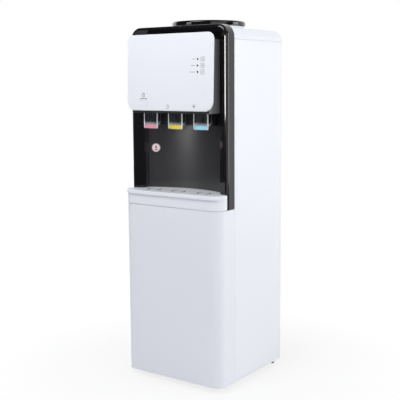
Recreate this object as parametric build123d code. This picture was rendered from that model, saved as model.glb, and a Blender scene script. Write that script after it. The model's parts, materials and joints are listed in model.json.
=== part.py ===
import os
from math import cos, hypot, pi, radians, sin, sqrt, tan

from build123d import *

os.makedirs("parts", exist_ok=True)

# Cabinet, in mm. Every y below is measured from the front edge of the side panels.
body_width = 310.0
side_depth = 236.0
foot_height = 14.0
lower_height = 460.0
upper_height = 463.5
sheet = 1.0
wall = 2.5
flange = 14.0
bend = 2.0
seam = 1.2
cover_seam = 0.6
fit = 0.3
pan_rim = 20.0
slot_x = 70.0
slot_length = 36.0
slot_y = -26.0
slot_width = 8.0
foot_radius = 8.0
foot_side = 20.0
foot_rear = 14.0
front_foot_side = 32.0
front_foot_inset = 52.0

# Lower front panel, tray holder, drip tray and drip grid
lower_projection = 68.0
lower_corner = 24.5
rib_depth = 7.0
rib_x = (-100.0, -34.0, 34.0, 100.0)
spigot_depth = 8.0
holder_height = 29.0
lip_height = 10.0
lip_overhang = 5.0
lip_side = 5.0
lip_rim = 12.0
tray_gap = 1.0
tray_side = 0.5
tray_wall = 2.0
drain_ring = 17.0
drain_slot = 5.0
drain_y = -31.0

# Front frame and alcove
bezel_projection = 33.0
bezel_corner = 30.0
bezel_round = 8.0
bezel_face = 7.0
bevel_width = 25.0
bevel_depth = 15.0
bevel_corner = 10.0
alcove_draft = 2.0
alcove_side = 16.0
alcove_sag = 34.0

# Control panel and hood
panel_lean = 2.03
panel_front = 71.6
panel_drop = 214.5
panel_side = 19.0
panel_height = 194.0
panel_thick = 6.0
panel_edge = 2.2
panel_rim = 5.0
panel_top_corner = 17.0
panel_low_corner = 25.0
hood_drop = 6.0
hood_corner = 14.0
led_side = 45.0
led_v = 97.1
led_pitch = 15.8
led_radius = 2.3
led_fit = 0.08
board_thick = 1.6
lock_shift = 1.0
lock_v = 19.0
lock_width = 26.0
lock_height = 14.5
lock_corner = 3.0
lock_proud = 0.7
lock_flange = 1.2

# Taps
tap_margin = 42.0
spout_y = -20.0
spout_radius = 6.5
spout_bore = 4.5
valve_radius = 11.0
lever_width = 46.0
lever_height = 60.0
lever_depth = 14.0
lever_wall = 2.0
lever_front = -42.0
lever_corner = 6.0
lever_rise = 43.0
band_height = 10.0
band_thick = 1.2
band_gap = 0.15
pin_drop = 6.0
pin_y = -34.0
pin_radius = 2.0
pin_fit = 0.05
spout_rise = 8.0
valve_rise = 12.0
valve_height = 48.0
stem_radius = 2.5
stem_collar = 5.0
fork_thick = 3.0
shank_radius = 8.0
shank_drop = 27.0
carrier_front = -6.0
carrier_wall = 3.0
carrier_side = 15.0
carrier_height = 60.0
nut_flats = 20.0
nut_thick = 6.0
hose_radius = 6.5
barb_radius = 4.8
hose_bend = 8.0
hose_nib = 2.0
hose_side = 11.0
hose_knee = 8.0

# Top cover and bottle seat
cover_step = 6.5
cover_height = 30.0
cover_round = 28.0
lip_drop = 12.0
pedestal_height = 10.0
pedestal_radius = 95.0
seat_y = 110.0
seat_radius = 98.6
seat_height = 12.0
seat_bore = 88.0
well_radius = 32.0
well_depth = 91.0
funnel_drop = 37.0
spike_radius = 9.5
spike_height = 82.0
port_rise = 50.0
port_height = 12.0
port_width = 5.0
pipe_radius = 14.0
pipe_length = 33.0

# Tanks and shelves
cold_radius = 58.0
cold_height = 186.0
cold_foam = 12.0
coil_radius = 3.0
coil_turns = 4
coil_pitch = 20.0
cold_outlet = 22.0
hot_outlet = 25.0
heater_rise = 40.0
hot_radius = 45.0
hot_height = 160.0
hot_foam = 15.0
hot_drop = 200.0
feed_radius = 6.0
tank_sheet = 1.2
shelf_flange = 15.0
band_heater = 40.0

# Cooling unit
compressor_y = 112.0
compressor_radius = 64.0
compressor_height = 140.0
mount_height = 28.0
mount_x = 62.0
mount_y = 46.0
line_radius = 3.0
line_bend = 16.0
line_side = 55.0
line_inset = 24.0
line_drop = 40.0
stub_x = 30.0
stub_drop = 22.0
stub_length = 14.0
compressor_wall = 9.0
relay_rise = 20.0
relay_depth = 20.0
relay_width = 44.0
relay_height = 52.0
rear_projection = 26.0
condenser_low = 292.0
condenser_runs = 11
condenser_gap = 129.0
condenser_side = 39.0
condenser_tail = 40.0
tube_radius = 2.4
wire_radius = 0.8
wire_gap = 0.05
wire_count = 13
wire_margin = 20.0
clip_inset = 12.0
drier_inset = 22.0
drier_drop = 18.0
drier_length = 90.0
drier_radius = 9.0

# Rear panel and what sits on it
rear_low = 245.0
rear_lip = 10.0
screw_rows = 4
screw_end = 20.0
screw_head = 4.0
screw_shank = 1.7
screw_length = 8.0
screw_crown = 2.2
vent_rows = 6
vent_length = 90.0
vent_width = 5.0
vent_pitch = 10.0
vent_side = 45.0
vent_drop = 25.0
switch_drop = 39.0
switch_side = 85.0
switch_half = 6.4
switch_rise = 9.5
switch_fit = 0.1
switch_rim = 1.0
switch_pitch = 30.0
rocker_turn = 20.0
rocker_pin = 1.2
drain_side = 95.0
drain_rise = 70.0
drain_z = 268.0
drain_radius = 8.0
gland_side = 55.0
gland_bore = 4.0
gland_radius = 9.0

# Levels and planes that follow from the sizes above
half = body_width / 2
overall_depth = lip_overhang + lower_projection + side_depth + rear_projection
y_seam = lip_overhang + lower_projection - overall_depth / 2
y_bezel = -bezel_projection
y_bevel = y_bezel + bevel_depth
y_lip = y_bevel + wall + fit
y_panel = side_depth - sheet
z_base = foot_height
z_lower = z_base + lower_height
z_holder = z_lower + holder_height
z_tray = z_holder + lip_height
z_bezel = z_lower + upper_height
z_cover = z_bezel - cover_step
z_skirt = z_cover - cover_height
z_pedestal = z_cover + pedestal_height
z_panel = z_bezel - panel_drop
z_hood = z_panel - hood_drop
alcove_half = half - bezel_face - bevel_width
tap_pitch = alcove_half - tap_margin
carrier_half = tap_pitch + carrier_side
panel_width = body_width - 2 * panel_side
led_x = panel_width / 2 - led_side
lock_x = -tap_pitch - lock_shift
z_alcove = z_bezel - bezel_face - bevel_width
z_lever = z_hood - lever_rise
z_pin = z_lever + lever_height - pin_drop - lever_wall
z_spout = z_lever + spout_rise
z_valve = z_spout + valve_rise
z_valve_top = z_valve + valve_height
z_fork = z_valve_top + fork_thick / 2
z_shank = z_valve_top - shank_drop
z_carrier = z_shank - carrier_height / 2
z_rim = z_pedestal + fit
z_seat = z_rim + seat_height
z_well = z_seat - well_depth
z_pipe = z_well - pipe_length
z_cold = z_pipe + 6.0 - cold_height
z_cold_shelf = z_cold - cold_foam
z_hot = z_cold - hot_drop
z_hot_shelf = z_hot - tank_sheet * 4
foam_radius = cold_radius + cold_foam
jacket_radius = hot_radius + hot_foam
hose_x = foam_radius + hose_side
y_knee = alcove_sag + hose_knee
y_rear = side_depth + rear_projection
y_coil = y_rear - tube_radius - wire_gap - 2 * wire_radius
switch_z = z_skirt - switch_drop
switch_x = half - switch_side
vent_x = vent_side - half
drain_x = drain_side - half
gland_x = half - gland_side
line_x = half - line_side
condenser_top = z_skirt - condenser_gap
condenser_pitch = (condenser_top - condenser_low) / (condenser_runs - 1)
condenser_half = half - condenser_side
condenser_end = condenser_half + clip_inset
condenser_start = condenser_low - condenser_tail
clip_x = condenser_half - clip_inset
wire_pitch = 2 * (condenser_half - wire_margin) / (wire_count - 1)
y_drier = y_panel - drier_inset
z_drier = condenser_top - drier_drop
z_compressor = z_base + sheet + mount_height + fit
z_stub = z_compressor + 3.0 + compressor_height * 0.55 - stub_drop
lean = radians(panel_lean)
panel_plane = Plane(
    origin=(0, -panel_front, z_panel), x_dir=(1, 0, 0), z_dir=(0, -cos(lean), sin(lean))
)
taps = {"hot": -tap_pitch, "normal": 0.0, "cold": tap_pitch}


def block(x0, x1, y0, y1, z0, z1):
    centre = Pos((x0 + x1) / 2, (y0 + y1) / 2, (z0 + z1) / 2)
    return centre * Box(x1 - x0, y1 - y0, z1 - z0)


def post(x, y, z0, z1, radius):
    return Pos(x, y, (z0 + z1) / 2) * Cylinder(radius, z1 - z0)


def rod_x(x0, x1, y, z, radius):
    return Pos((x0 + x1) / 2, y, z) * Rot(0, 90, 0) * Cylinder(radius, x1 - x0)


def rod_y(x, y0, y1, z, radius):
    return Pos(x, (y0 + y1) / 2, z) * Rot(90, 0, 0) * Cylinder(radius, y1 - y0)


def corner_arc(a, b, c, radius):
    """Start, middle and end of the arc that rounds corner b."""
    u = (a - b).normalized()
    v = (c - b).normalized()
    angle = radians(u.get_angle(v)) / 2
    reach = radius / tan(angle)
    sag = radius / sin(angle) - radius
    return b + u * reach, b + (u + v).normalized() * sag, b + v * reach


def chain(points, closed):
    """Lines and tangent arcs through (point, corner radius) pairs."""
    count = len(points)
    spans = []
    for i, (point, radius) in enumerate(points):
        inner = closed or 0 < i < count - 1
        before = points[i - 1][0]
        after = points[(i + 1) % count][0]
        if inner and radius > 0 and (before - point).get_angle(after - point) < 179.9:
            spans.append(corner_arc(before, point, after, radius))
        else:
            spans.append((point, None, point))
    edges = []
    for i, (start, middle, end) in enumerate(spans):
        if middle is not None:
            edges.append(Edge.make_three_point_arc(start, middle, end))
        if closed or i < count - 1:
            target = spans[(i + 1) % count][0]
            if (target - end).length > 1e-5:
                edges.append(Edge.make_line(end, target))
    return Wire(edges)


def outline(points):
    return Face(chain([(Vector(x, y, 0), r) for x, y, r in points], True))


def prism(face, z0, z1):
    return extrude(Pos(0, 0, z0) * face, amount=z1 - z0, dir=(0, 0, 1))


def slab_xz(points, y0, y1):
    return extrude(Pos(0, y0, 0) * Plane.XZ.location * outline(points), amount=y1 - y0, dir=(0, 1, 0))


def slab_yz(points, x0, x1):
    return extrude(Pos(x0, 0, 0) * Plane.YZ.location * outline(points), amount=x1 - x0, dir=(1, 0, 0))


def turned(points, x, y):
    """Ring or disc turned about the vertical line through x, y."""
    return Pos(x, y, 0) * revolve(Plane.XZ.location * outline(points), Axis.Z)


def pipe(points, radius, outer, inner=0.0):
    path = chain([(Vector(*p), radius) for p in points], False)
    start = Vector(*points[0])
    plane = Plane(origin=start, z_dir=Vector(*points[1]) - start)
    body = sweep(plane.location * Face(Wire.make_circle(outer)), path=path)
    if inner > 0:
        body -= sweep(plane.location * Face(Wire.make_circle(inner)), path=path)
    return body


def group(solids):
    return Compound(children=[s for shape in solids for s in shape.solids()])


def u_points(reach, front, corner, back):
    return [(-reach, back, 0), (-reach, front, corner), (reach, front, corner), (reach, back, 0)]


def u_shell(reach, front, corner, back, thick):
    inner = u_points(reach - thick, front + thick, corner - thick, back)
    return outline(u_points(reach, front, corner, back) + inner[::-1])


def alcove_face(grow, y0):
    """Plan of the cup alcove, grown outwards, from y0 to its concave back."""
    x0 = alcove_half + grow - alcove_draft / alcove_side * (y0 - y_bevel)
    x1 = alcove_half + grow - alcove_draft
    y1 = y_bevel + alcove_side
    back = Edge.make_three_point_arc((-x1, y1), (0, y1 + alcove_sag + grow), (x1, y1))
    left = Edge.make_line((-x0, y0), (-x1, y1))
    right = Edge.make_line((x1, y1), (x0, y0))
    return Face(Wire([left, back, right, Edge.make_line((x0, y0), (-x0, y0))]))


def rear_screw_points():
    z0 = rear_low + screw_end
    step = (z_skirt - screw_end - z0) / (screw_rows - 1)
    return [(s * (half - flange / 2), z0 + i * step) for s in (-1, 1) for i in range(screw_rows)]


def base_pan():
    reach = half - wall - fit
    front = -lower_projection + wall + fit
    corner = lower_corner - wall - fit
    back = side_depth - 3 * sheet
    pan = prism(outline(u_points(reach, front, corner, back)), z_base, z_base + pan_rim)
    inside = u_points(reach - sheet, front + sheet, corner - sheet, back - sheet)
    pan -= prism(outline(inside), z_base + sheet, z_base + pan_rim + 1)
    for side in (-1, 1):
        x = side * (half - flange / 2)
        pan -= block(x - flange, x + flange, seam / 2 - fit, seam / 2 + sheet + fit, 0, z_lower)
    for x in (-slot_x, 0, slot_x):
        pan -= base_slot(x)
    return pan


def base_slot(x):
    """Ventilation slot in the base."""
    plan = Pos(x, slot_y) * SlotOverall(slot_length, slot_width)
    return prism(plan, 0, z_base + pan_rim)


def feet():
    """Two feet near the rear corners and two set further in under the front."""
    solids = []
    r = foot_radius
    h = foot_height
    profile = [(0, 0, 0), (r - 1.5, 0, 1.2), (r, h - 3, 0), (r, h, 0), (0, h, 0)]
    for side in (-1, 1):
        solids.append(turned(profile, side * (half - foot_side), side_depth - foot_rear))
        solids.append(turned(profile, side * (half - front_foot_side), front_foot_inset - lower_projection))
    return group(solids)


def side_panel(side):
    x1 = side * half
    x2 = side * (half - sheet)
    x3 = side * (half - flange)
    y0 = seam / 2
    y1 = side_depth
    plan = [(x3, y0, 0), (x1, y0, bend), (x1, y1, bend), (x3, y1, 0)]
    plan += [(x3, y1 - sheet, 0), (x2, y1 - sheet, bend - sheet)]
    plan += [(x2, y0 + sheet, bend - sheet), (x3, y0 + sheet, 0)]
    panel = prism(outline(plan), z_base, z_skirt - cover_seam)
    for x, z in rear_screw_points():
        if x * side > 0:
            panel -= rod_y(x, side_depth - 5, side_depth + 5, z, screw_shank + pin_fit)
    return panel


def rear_panel():
    y1 = y_panel
    y0 = y1 - sheet
    reach = half - bend - fit
    panel = block(-reach, reach, y0, y1, rear_low, z_skirt - cover_seam - fit)
    panel += block(-reach + flange, reach - flange, y0 - rear_lip, y1, rear_low, rear_low + sheet)
    for x, z in rear_screw_points():
        panel -= rod_y(x, y0 - 5, y1 + 5, z, screw_shank + pin_fit)
    for i in range(2):
        x = switch_x + i * switch_pitch
        w = switch_half + switch_fit
        h = switch_rise + switch_fit
        panel -= block(x - w, x + w, y0 - 1, y1 + 1, switch_z - h, switch_z + h)
    for i in range(vent_rows):
        z = switch_z - vent_drop + i * vent_pitch
        end = vent_x + vent_length
        r = 0.48 * vent_width
        slot = [(vent_x, z, r), (end, z, r), (end, z + vent_width, r), (vent_x, z + vent_width, r)]
        panel -= slab_xz(slot, y0 - 1, y1 + 1)
    panel -= rod_y(drain_x, y0 - 1, y1 + 1, drain_z, drain_radius + pin_fit)
    panel -= rod_y(gland_x, y0 - 1, y1 + 1, drain_z, gland_radius + pin_fit)
    panel -= rod_y(condenser_end, y0 - 1, y1 + 1, condenser_top, tube_radius + 1)
    return panel


def rear_screws():
    solids = []
    for x, z in rear_screw_points():
        screw = rod_y(x, side_depth - screw_length, side_depth + 0.5, z, screw_shank)
        head = rod_y(x, side_depth, side_depth + screw_crown, z, screw_head)
        head = fillet(head.faces().sort_by(Axis.Y)[-1].edges(), 1.2)
        y1 = side_depth + screw_crown
        slot = block(x - 3, x + 3, y1 - 0.8, y1 + 1, z - 0.5, z + 0.5)
        solids.append(screw + head - slot)
    return group(solids)


def rounded_cover(inset, z0, z1, radius):
    y0 = seam / 2 + inset
    y1 = side_depth - inset
    body = block(inset - half, half - inset, y0, y1, z0, z1)
    rims = [e for e in body.faces().sort_by(Axis.Z)[-1].edges() if e.center().Y > y0 + 1]
    return fillet(rims, radius)


def top_cover():
    cover = rounded_cover(0, z_skirt, z_cover, cover_round)
    cover += post(0, seat_y, z_cover - 1, z_pedestal, pedestal_radius)
    ring = [e for e in cover.edges() if e.geom_type == GeomType.CIRCLE and e.radius > seat_bore]
    cover = fillet([e for e in ring if e.center().Z > z_pedestal - 1], 1.5)
    cover -= rounded_cover(wall, z_skirt - 5, z_cover - wall, cover_round - wall)
    cover -= post(0, seat_y, z_skirt, z_pedestal - wall, pedestal_radius - wall)
    cover -= post(0, seat_y, z_skirt, z_pedestal + 5, seat_bore)
    for side in (-1, 1):
        x0 = half - sheet - fit - wall
        lip = block(x0, x0 + wall, 20, side_depth - 20, z_skirt - lip_drop, z_skirt + 1.5)
        cover += lip if side > 0 else mirror(lip, Plane.YZ)
    return cover


def lower_front_panel():
    front = -lower_projection
    panel = prism(u_shell(half, front, lower_corner, 0, wall), z_base, z_lower)
    for x in rib_x:
        y0 = front + wall - 0.5
        panel += block(x - 1, x + 1, y0, y0 + rib_depth, z_base + pan_rim + 10, z_lower - spigot_depth)
    for side in (-1, 1):
        x0 = half - wall - rib_depth + 0.5
        rib = block(x0, x0 + rib_depth, front + 34, front + 36, z_base + pan_rim + 10, z_lower - spigot_depth)
        panel += rib if side > 0 else mirror(rib, Plane.YZ)
    return panel


def tray_holder():
    front = -lower_projection
    back = y_bezel - seam / 2
    z0 = z_lower + seam
    nest = wall + fit
    holder = prism(u_shell(half, front, lower_corner, back, wall), z0, z_holder)
    holder += prism(outline(u_points(half, front, lower_corner, back)), z0, z0 + wall)
    spigot = u_shell(half - nest, front + nest, lower_corner - nest, back, wall)
    holder += prism(spigot, z_lower - spigot_depth, z0 + 1)
    holder += prism(alcove_face(-fit, back - 5), z0, z0 + wall)
    return holder


def tray_plan(gap, back):
    front = -lower_projection + wall + gap
    return outline(u_points(half - wall - gap, front, lower_corner - wall - gap, back))


def drip_tray():
    z0 = z_lower + seam + wall + fit
    back = y_bezel - seam - tray_gap
    thick = tray_wall
    tray = prism(tray_plan(tray_side, back), z0, z_holder)
    tray += prism(alcove_face(-tray_gap - 0.5, back - 2), z0, z_holder)
    tray -= prism(tray_plan(tray_side + thick, back - thick), z0 + thick, z_holder + 1)
    tray -= prism(alcove_face(-tray_gap - 0.5 - thick, back - thick - 3), z0 + thick, z_holder + 1)
    return tray


def drain_slots(x):
    ring = Circle(drain_ring + drain_slot / 2) - Circle(drain_ring - drain_slot / 2)
    keep = Pos(drain_ring, 0) * Rectangle(drain_ring * 1.3, drain_ring * 1.5)
    slots = ring & (keep + mirror(keep, Plane.YZ))
    return [prism(Pos(x, drain_y, 0) * face, z_holder, z_tray + 1) for face in slots.faces()]


def drip_grid():
    z0 = z_holder + fit
    back = y_bezel - seam / 2 - fit
    front = -lower_projection - lip_overhang
    x_front = half + lip_side
    x_bevel = half - bezel_face - tray_gap
    x_inner = alcove_half - tray_gap
    corner = lower_corner + lip_side
    plan = [(-half, back, 0), (-x_front, front, corner), (x_front, front, corner), (half, back, 0)]
    plan += [(x_bevel, back, 0), (x_inner, y_bevel - tray_gap, 0)]
    plan += [(-x_inner, y_bevel - tray_gap, 0), (-x_bevel, back, 0)]
    grid = prism(outline(plan), z0, z_tray)
    rims = [e for e in grid.faces().sort_by(Axis.Z)[-1].edges() if e.center().Y < back - 2]
    grid = fillet(rims, 2.0)
    grid += prism(alcove_face(-tray_gap, back), z0, z_tray)
    x_pocket = x_front - lip_rim
    pocket = u_points(x_pocket, front + lip_rim, corner - lip_rim, back - 5)
    grid -= prism(outline(pocket), z0 - 1, z_tray - wall)
    grid -= prism(alcove_face(-tray_gap - 5, back - 6), z0 - 1, z_tray - wall)
    for x in taps.values():
        for slot in drain_slots(x):
            grid -= slot
    return grid


def bezel_points(inset, z0):
    reach = half - inset
    top = z_bezel - inset
    corner = bezel_corner - inset
    return [(-reach, z0, 0), (-reach, top, corner), (reach, top, corner), (reach, z0, 0)]


def bevel_section(y, step):
    reach = half - bezel_face - step * bevel_width
    top = z_bezel - bezel_face - step * bevel_width
    start = bezel_corner - bezel_face
    corner = start + step * (bevel_corner - start)
    low = z_lower - 20
    points = [(-reach, low, 0), (-reach, top, corner), (reach, top, corner), (reach, low, 0)]
    return Pos(0, y, 0) * Plane.XZ.location * outline(points)


def bevel_solid(shift):
    y0 = y_bezel + shift
    return loft([bevel_section(y0, 0), bevel_section(y0 + bevel_depth, 1)], ruled=True)


def front_bezel():
    z0 = z_lower + seam
    frame = slab_xz(bezel_points(0, z0), y_bezel, 0)
    rims = [e for e in frame.edges() if abs(e.center().Y - y_bezel) < 0.01 and e.center().Z > z0 + 1]
    frame = fillet(rims, bezel_round)
    back = y_lip - y_bevel
    cavity = slab_xz(bezel_points(wall, z0 + wall), y_bezel + back, 1)
    inner = cavity.edges().filter_by_position(Axis.Y, y_bezel + back - 0.01, y_bezel + back + 0.01)
    rims = [e for e in inner if e.center().Z > z0 + wall + 1]
    cavity = fillet(rims, bezel_round - wall)
    cavity -= bevel_solid(back)
    frame -= cavity
    frame -= bevel_solid(0)
    throat = [(-alcove_half, z0 - 5, 0), (-alcove_half, z_alcove, bevel_corner)]
    throat += [(alcove_half, z_alcove, bevel_corner), (alcove_half, z0 - 5, 0)]
    frame -= slab_xz(throat, y_bevel - 0.5, y_lip + 0.5)
    reach = alcove_half + wall + fit
    frame -= block(-reach, reach, y_lip, 5, z0 - 5, z_alcove + wall)
    return frame


def alcove_liner():
    z0 = z_lower + seam
    z1 = min(z_alcove, z_skirt) - fit
    y0 = y_lip + fit
    liner = prism(alcove_face(wall, y0), z0, z1)
    liner -= prism(alcove_face(0, y0 - 1), z0 - 1, z1 - wall)
    for x in taps.values():
        liner -= rod_y(x, 0, 2 * alcove_sag, z_shank, hose_radius + 1)
    return liner


def in_front(w):
    """Everything on the outer side of a plane at depth w of the control panel."""
    slab = Box(2 * body_width, 3 * panel_height, body_width)
    return panel_plane.location * Pos(0, panel_height / 2, w + body_width / 2) * slab


def tap_hood():
    reach = alcove_half - fit
    z1 = z_alcove - fit
    back = y_lip - wall / 2
    hood = prism(outline(u_points(reach, -panel_front, hood_corner, back)), z_hood, z1)
    corner = bevel_corner - fit
    brow = [(-reach, z_hood, 0), (-reach, z1, corner), (reach, z1, corner), (reach, z_hood, 0)]
    hood &= slab_xz(brow, -2 * panel_front, back)
    hood -= in_front(-panel_thick)
    inside = u_points(reach - wall, -panel_front, hood_corner, back + 1)
    room = prism(outline(inside), z_hood - 1, z1 - wall) - in_front(-panel_thick - wall)
    return hood - room


def panel_points(inset):
    reach = panel_width / 2 - inset
    low = panel_low_corner - inset
    high = panel_top_corner - inset
    top = panel_height - inset
    return [(-reach, inset, low), (reach, inset, low), (reach, top, high), (-reach, top, high)]


def lock_points(grow):
    reach = lock_width / 2 + grow
    rise = lock_height / 2 + grow
    corner = lock_corner + grow
    low = lock_v - rise
    high = lock_v + rise
    x0 = lock_x - reach
    x1 = lock_x + reach
    return [(x0, low, corner), (x1, low, corner), (x1, high, corner), (x0, high, corner)]


def led_spots():
    return [(led_x, led_v + i * led_pitch) for i in range(3)]


def control_panel():
    plate = prism(outline(panel_points(0)), -panel_thick, 0)
    plate = fillet(plate.faces().sort_by(Axis.Z)[-1].edges(), panel_edge)
    plate -= prism(outline(panel_points(panel_rim)), -panel_thick - 1, -wall)
    for x, v in led_spots():
        plate -= post(x, v, -panel_thick, 1, led_radius + led_fit)
    plate -= prism(outline(lock_points(fit)), -panel_thick, 1)
    for x in (-40, 40):
        plate += post(x, panel_height / 2, -panel_thick, -wall + 0.5, 5)
    return panel_plane.location * plate


def indicator_lenses():
    depth = panel_thick - board_thick - 0.2
    solids = []
    for x, v in led_spots():
        solids.append(panel_plane.location * post(x, v, -depth, 0.4, led_radius))
    return group(solids)


def indicator_board():
    v = led_v + led_pitch
    x0 = led_x - 20
    x1 = led_x + 18
    plan = outline([(x0, v - 28, 2), (x1, v - 28, 2), (x1, v + 28, 2), (x0, v + 28, 2)])
    return panel_plane.location * prism(plan, -panel_thick, board_thick - panel_thick)


def lock_button():
    cap = prism(outline(lock_points(0)), -wall - fit - 1, lock_proud)
    cap = fillet(cap.faces().sort_by(Axis.Z)[-1].edges(), 0.5)
    cap += prism(outline(lock_points(lock_flange)), -wall - fit - lock_flange, -wall - fit)
    return panel_plane.location * cap


def tap_body(x):
    body = post(x, spout_y, z_valve, z_valve_top, valve_radius)
    body = fillet(body.faces().sort_by(Axis.Z)[-1].edges(), 2)
    body += post(x, spout_y, z_spout, z_valve + 2, spout_radius)
    body += rod_y(x, spout_y, carrier_front + carrier_wall + nut_thick + 2, z_shank, shank_radius)
    body += rod_y(x, carrier_front - 3, carrier_front, z_shank, shank_radius + 4)
    barb = carrier_front + carrier_wall + nut_thick + 2
    body += rod_y(x, barb - 1, barb + 11, z_shank, barb_radius)
    body += block(x - 8, x + 8, pin_y, spout_y, z_pin - 5, z_pin + 5)
    body += rod_x(x - 8, x + 8, pin_y, z_pin, 5)
    body -= rod_x(x - 9, x + 9, pin_y, z_pin, pin_radius + 0.02)
    body -= post(x, spout_y, z_valve_top - 18, z_valve_top + 1, stem_radius + 0.06)
    body -= post(x, spout_y, z_spout - 1, z_valve + 8, spout_bore)
    return body


def lever(x):
    reach = lever_width / 2
    y0 = lever_front
    y1 = y0 + lever_depth
    top = z_pin + pin_drop
    face = [(x - reach, z_lever, lever_corner), (x + reach, z_lever, lever_corner)]
    face += [(x + reach, top, 0), (x - reach, top, 0)]
    paddle = slab_xz(face, y0, y0 + lever_wall)
    crown = z_fork + fork_thick
    cheek = [(y0, z_lever + lever_corner, 0), (y0 + 5, z_lever + lever_corner, 2), (y1, z_lever + 18, 4)]
    cheek += [(y1, top, 0), (y1 + 10, z_fork, 0), (y1 + 10, crown, 2), (pin_y, crown, 4), (y0, top, 0)]
    for side in (-1, 1):
        x0 = x + side * reach
        x1 = x0 - side * lever_wall
        paddle += slab_yz(cheek, min(x0, x1), max(x0, x1))
    inner = reach - lever_wall + 0.5
    slot = stem_radius + 0.4
    paddle += block(x - inner, x + inner, pin_y + 2, spout_y - slot - 3, z_fork, crown)
    for side in (-1, 1):
        y2 = pin_y + 3
        y3 = spout_y + 8
        prong = [(y2, z_fork, 0), (y3, z_fork, 1), (y3, crown, 1), (y2, crown, 0)]
        x0 = x + side * slot
        x1 = x + side * (slot + 4)
        paddle += slab_yz(prong, min(x0, x1), max(x0, x1))
    paddle -= rod_x(x - reach - 1, x + reach + 1, pin_y, z_pin, pin_radius + pin_fit)
    return paddle


def lever_band(x):
    reach = lever_width / 2 - lever_wall - fit
    y0 = lever_front + lever_wall + band_gap
    z0 = z_lever + 1.6
    corner = lever_corner - lever_wall
    z1 = z0 + band_height
    face = [(x - reach, z0, corner), (x + reach, z0, corner), (x + reach, z1, 0.5), (x - reach, z1, 0.5)]
    return slab_xz(face, y0, y0 + band_thick)


def valve_stem(x):
    crown = z_fork + fork_thick + fit
    stem = post(x, spout_y, z_valve_top - 16, crown + 5, stem_radius)
    stem += post(x, spout_y, crown, crown + 2.5, stem_collar)
    return stem


def lever_pins():
    reach = lever_width / 2
    return group([rod_x(x - reach, x + reach, pin_y, z_pin, pin_radius) for x in taps.values()])


def tap_nuts():
    solids = []
    y0 = carrier_front + carrier_wall
    for x in taps.values():
        nut = extrude(RegularPolygon(nut_flats / 2, 6, major_radius=False), amount=nut_thick)
        nut -= Cylinder(shank_radius + 0.05, 4 * nut_thick)
        solids.append(Pos(x, y0, z_shank) * Rot(-90, 0, 0) * nut)
    return group(solids)


def tap_carrier():
    z1 = z_carrier + carrier_height
    t = carrier_wall
    box = block(-carrier_half, carrier_half, carrier_front, alcove_sag, z_carrier, z1)
    box -= block(t - carrier_half, carrier_half - t, carrier_front + t, alcove_sag + 1, z_carrier + t, z1 - t)
    for x in taps.values():
        box -= rod_y(x, carrier_front - 1, carrier_front + t + 1, z_shank, shank_radius + 0.05)
    return box & prism(alcove_face(-fit, carrier_front - 5), z_carrier - 1, z1 + 1)


def bottle_seat():
    fall = z_seat - funnel_drop
    x_funnel = well_radius + 3
    run = seat_bore - 3 - x_funnel
    drop = 3 * sqrt(1 + (funnel_drop / run) ** 2)
    x_skirt = seat_bore - fit
    points = [(x_skirt - 3, z_cover, 0), (x_skirt, z_cover, 0.8), (x_skirt, z_rim, 0)]
    points += [(seat_radius, z_rim, 1.5), (seat_radius, z_seat, 5), (x_funnel + run, z_seat, 4)]
    points += [(x_funnel, fall, 6), (well_radius, z_well, 2), (pipe_radius - 4, z_well, 0)]
    points += [(pipe_radius - 4, z_pipe, 0), (pipe_radius, z_pipe, 0), (pipe_radius, z_well - 3, 0)]
    points += [(x_funnel, z_well - 3, 3), (x_funnel, fall - drop, 5), (x_skirt - 3, z_seat - drop - 0.4, 2)]
    return turned(points, 0, seat_y)


def bottle_spike():
    z0 = z_well + fit
    z1 = z0 + spike_height
    base = pipe_radius + 6
    points = [(5, z0, 0), (base, z0, 0), (base, z0 + 4, 2), (spike_radius, z0 + 4, 0)]
    points += [(spike_radius, z1 - 12, 3), (3, z1, 2), (0, z1, 0), (0, z1 - 15, 0), (5, z1 - 15, 0)]
    spike = turned(points, 0, seat_y)
    for turn in (0, 90):
        port = Box(4 * spike_radius, port_width, port_height)
        spike -= Pos(0, seat_y, z0 + port_rise + port_height / 2) * Rot(0, 0, turn) * port
    return spike


def seat_seal():
    z0 = z_cold + cold_height + fit
    z1 = z0 + 5
    r0 = pipe_radius + fit
    r1 = pipe_radius + 7
    points = [(r0, z0, 1), (r1, z0, 1), (r1, z1, 2), (r0, z1, 1)]
    return turned(points, 0, seat_y)


def cold_tank():
    r = cold_radius
    t = tank_sheet
    z1 = z_cold + cold_height
    points = [(0, z_cold, 0), (r, z_cold, 10), (r, z1, 10), (pipe_radius + 1, z1, 0)]
    points += [(pipe_radius + 1, z1 - t, 0), (r - t, z1 - t, 9), (r - t, z_cold + t, 9), (0, z_cold + t, 0)]
    tank = turned(points, 0, seat_y)
    tank += rod_y(0, seat_y - foam_radius - 4, seat_y - r + 0.6, z_shank, barb_radius)
    tank += rod_x(r - 0.6, foam_radius + hose_nib, seat_y, z_cold + cold_outlet, barb_radius)
    return tank


def cold_insulation():
    r = foam_radius
    bore = cold_radius + 2 * coil_radius + 1
    z1 = z_cold + cold_height
    points = [(feed_radius + fit, z_cold_shelf, 0), (r, z_cold_shelf, 4), (r, z1, 4), (bore, z1, 0)]
    points += [(bore, z_cold, 0), (feed_radius + fit, z_cold, 0)]
    foam = turned(points, 0, seat_y)
    foam -= rod_y(0, seat_y - r - 5, seat_y, z_shank, hose_radius + fit)
    foam -= rod_x(0, r + 5, seat_y, z_cold + cold_outlet, hose_radius + fit)
    return foam


def coil_station(i):
    """Point and direction of the coil after i quarter turns."""
    r = cold_radius + coil_radius + 0.5
    x = (1, 0, -1, 0)[i % 4]
    y = (0, 1, 0, -1)[i % 4]
    rise = coil_pitch / (2 * pi * r)
    return Vector(r * x, r * y, coil_pitch * i / 4), Vector(-y, x, rise).normalized()


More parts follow.
